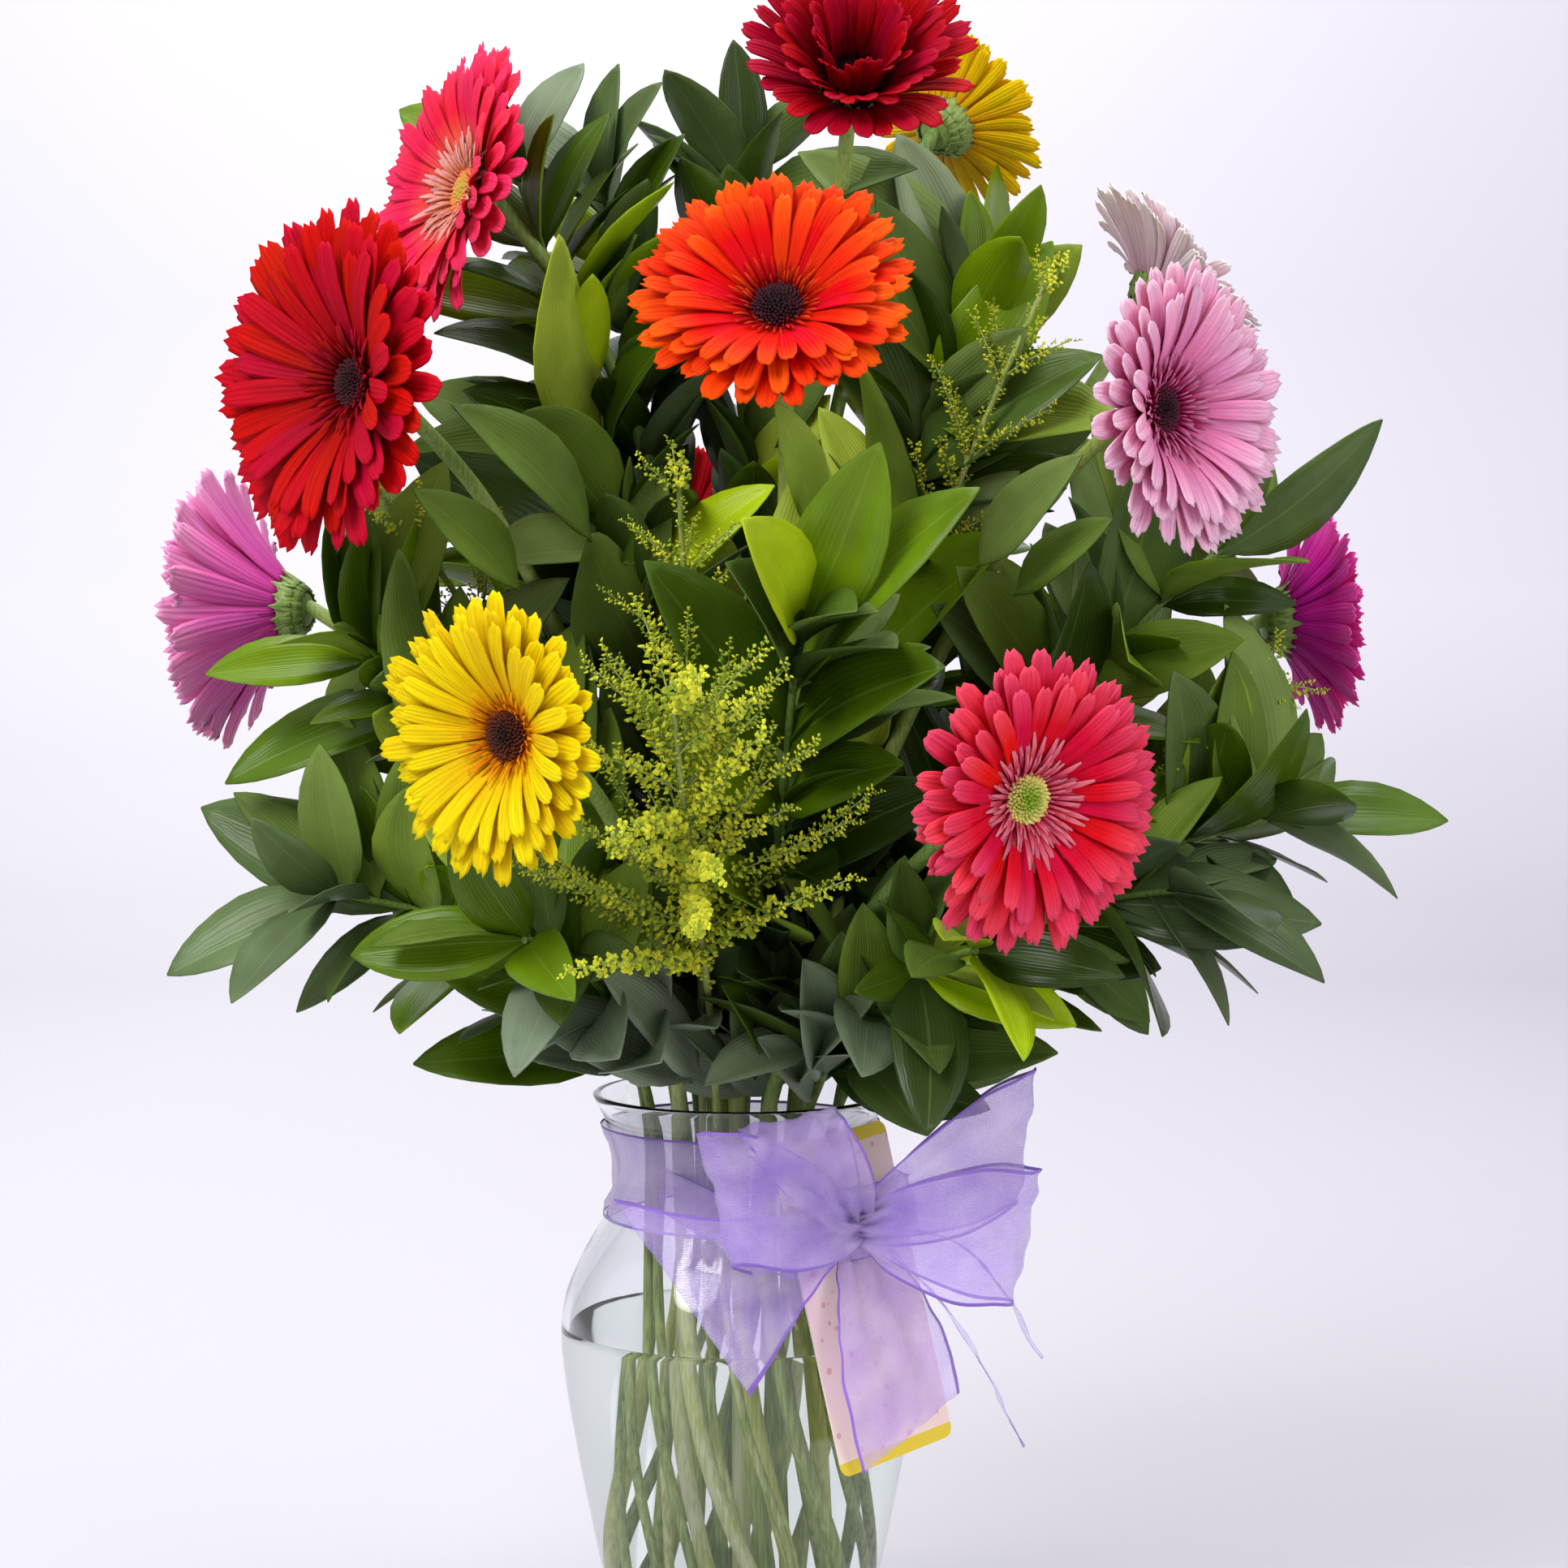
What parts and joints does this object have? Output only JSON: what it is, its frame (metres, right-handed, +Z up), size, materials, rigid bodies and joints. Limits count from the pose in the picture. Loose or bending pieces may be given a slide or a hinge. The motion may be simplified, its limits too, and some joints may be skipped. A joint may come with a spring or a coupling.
{
  "type": "flower arrangement in a vase",
  "caption": "Tied bunch of gerbera daisies, broad-leaf ruscus and goldenrod in a clear glass urn vase of water, with an organza bow and a small card.",
  "frame": {"origin": "centre of the vase's flat base, which stands on the surface", "axes": "+Z up along the vase's axis, +X to the right and -Y to the front, where the bow and the largest blooms face"},
  "size_m": [0.4733, 0.3879, 0.6477],
  "materials": {
    "clear_glass": "polished",
    "water": "gloss",
    "ribbon": "satin",
    "card": "satin",
    "gerbera_stem": "matte",
    "ruscus": "satin",
    "goldenrod": "matte",
    "gerbera_crimson_petals": "satin",
    "gerbera_crimson_eye": "matte",
    "gerbera_yellow_back_petals": "satin",
    "gerbera_yellow_back_eye": "matte",
    "gerbera_orange_petals": "satin",
    "gerbera_orange_eye": "matte",
    "gerbera_red_left_petals": "satin",
    "gerbera_red_left_eye": "matte",
    "gerbera_coral_left_petals": "satin",
    "gerbera_coral_left_eye": "matte",
    "gerbera_magenta_left_petals": "satin",
    "gerbera_magenta_left_eye": "matte",
    "gerbera_yellow_front_petals": "satin",
    "gerbera_yellow_front_eye": "matte",
    "gerbera_coral_front_petals": "satin",
    "gerbera_coral_front_eye": "matte",
    "gerbera_pink_right_petals": "satin",
    "gerbera_pink_right_eye": "matte",
    "gerbera_pale_back_petals": "satin",
    "gerbera_pale_back_eye": "matte",
    "gerbera_magenta_right_petals": "satin",
    "gerbera_magenta_right_eye": "matte",
    "gerbera_red_back_petals": "satin",
    "gerbera_red_back_eye": "matte"
  },
  "bodies": {
    "root": {"vase": "clear_glass", "water": "water", "ribbon": "ribbon", "card": "card", "gerbera_crimson_petals": "gerbera_crimson_petals", "gerbera_crimson_eye": "gerbera_crimson_eye", "gerbera_crimson_stem": "gerbera_stem", "gerbera_yellow_back_petals": "gerbera_yellow_back_petals", "gerbera_yellow_back_eye": "gerbera_yellow_back_eye", "gerbera_yellow_back_stem": "gerbera_stem", "gerbera_orange_petals": "gerbera_orange_petals", "gerbera_orange_eye": "gerbera_orange_eye", "gerbera_orange_stem": "gerbera_stem", "gerbera_red_left_petals": "gerbera_red_left_petals", "gerbera_red_left_eye": "gerbera_red_left_eye", "gerbera_red_left_stem": "gerbera_stem", "gerbera_coral_left_petals": "gerbera_coral_left_petals", "gerbera_coral_left_eye": "gerbera_coral_left_eye", "gerbera_coral_left_stem": "gerbera_stem", "gerbera_magenta_left_petals": "gerbera_magenta_left_petals", "gerbera_magenta_left_eye": "gerbera_magenta_left_eye", "gerbera_magenta_left_stem": "gerbera_stem", "gerbera_yellow_front_petals": "gerbera_yellow_front_petals", "gerbera_yellow_front_eye": "gerbera_yellow_front_eye", "gerbera_yellow_front_stem": "gerbera_stem", "gerbera_coral_front_petals": "gerbera_coral_front_petals", "gerbera_coral_front_eye": "gerbera_coral_front_eye", "gerbera_coral_front_stem": "gerbera_stem", "gerbera_pink_right_petals": "gerbera_pink_right_petals", "gerbera_pink_right_eye": "gerbera_pink_right_eye", "gerbera_pink_right_stem": "gerbera_stem", "gerbera_pale_back_petals": "gerbera_pale_back_petals", "gerbera_pale_back_eye": "gerbera_pale_back_eye", "gerbera_pale_back_stem": "gerbera_stem", "gerbera_magenta_right_petals": "gerbera_magenta_right_petals", "gerbera_magenta_right_eye": "gerbera_magenta_right_eye", "gerbera_magenta_right_stem": "gerbera_stem", "gerbera_red_back_petals": "gerbera_red_back_petals", "gerbera_red_back_eye": "gerbera_red_back_eye", "gerbera_red_back_stem": "gerbera_stem", "ruscus_up_left": "ruscus", "ruscus_top_left": "ruscus", "ruscus_top": "ruscus", "ruscus_top_right": "ruscus", "ruscus_right": "ruscus", "ruscus_right_low": "ruscus", "ruscus_low_right": "ruscus", "ruscus_front_right": "ruscus", "ruscus_left_low": "ruscus", "ruscus_left": "ruscus", "ruscus_front_left": "ruscus", "ruscus_centre": "ruscus", "ruscus_back_left": "ruscus", "ruscus_back_right": "ruscus", "ruscus_back_low": "ruscus", "goldenrod_front": "goldenrod", "goldenrod_middle": "goldenrod", "goldenrod_left": "goldenrod", "goldenrod_right": "goldenrod", "goldenrod_upper_right": "goldenrod"}
  },
  "joints": []
}
